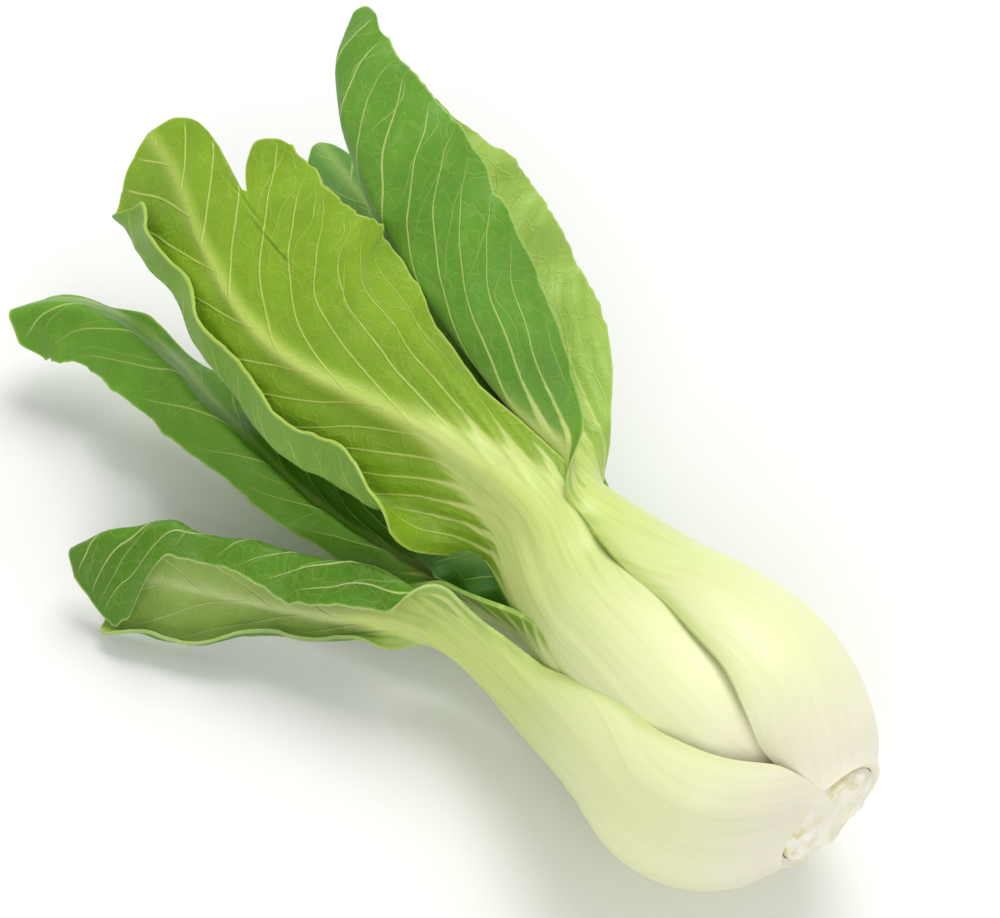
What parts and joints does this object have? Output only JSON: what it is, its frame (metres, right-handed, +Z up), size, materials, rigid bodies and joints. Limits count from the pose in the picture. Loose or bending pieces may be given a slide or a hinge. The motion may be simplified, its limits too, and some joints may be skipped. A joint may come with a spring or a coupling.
{
  "type": "bok choy",
  "caption": "Whole head of green-stemmed bok choy lying on its side: thick pale stalks wrapped in a bulb above a cut base, opening into curled green blades.",
  "frame": {"origin": "middle of the bounding box's footprint, on the surface that the head lies on", "axes": "+Y along the head from the cut base towards the leaf tips, +Z up"},
  "size_m": [0.1266, 0.2264, 0.0878],
  "materials": {
    "leaf_stalk": "satin",
    "leaf_blade": "satin",
    "cut_base": "matte"
  },
  "bodies": {
    "root": {"cut_base": "cut_base", "outer_leaf_left_stalk": "leaf_stalk", "outer_leaf_left_blade": "leaf_blade", "outer_leaf_right_stalk": "leaf_stalk", "outer_leaf_right_blade": "leaf_blade", "outer_leaf_under_stalk": "leaf_stalk", "outer_leaf_under_blade": "leaf_blade", "middle_leaf_top_stalk": "leaf_stalk", "middle_leaf_top_blade": "leaf_blade", "middle_leaf_right_stalk": "leaf_stalk", "middle_leaf_right_blade": "leaf_blade", "middle_leaf_left_stalk": "leaf_stalk", "middle_leaf_left_blade": "leaf_blade", "inner_leaf_top_stalk": "leaf_stalk", "inner_leaf_top_blade": "leaf_blade", "inner_leaf_left_stalk": "leaf_stalk", "inner_leaf_left_blade": "leaf_blade", "heart_leaf_upper_stalk": "leaf_stalk", "heart_leaf_upper_blade": "leaf_blade", "heart_leaf_lower_stalk": "leaf_stalk", "heart_leaf_lower_blade": "leaf_blade"}
  },
  "joints": []
}
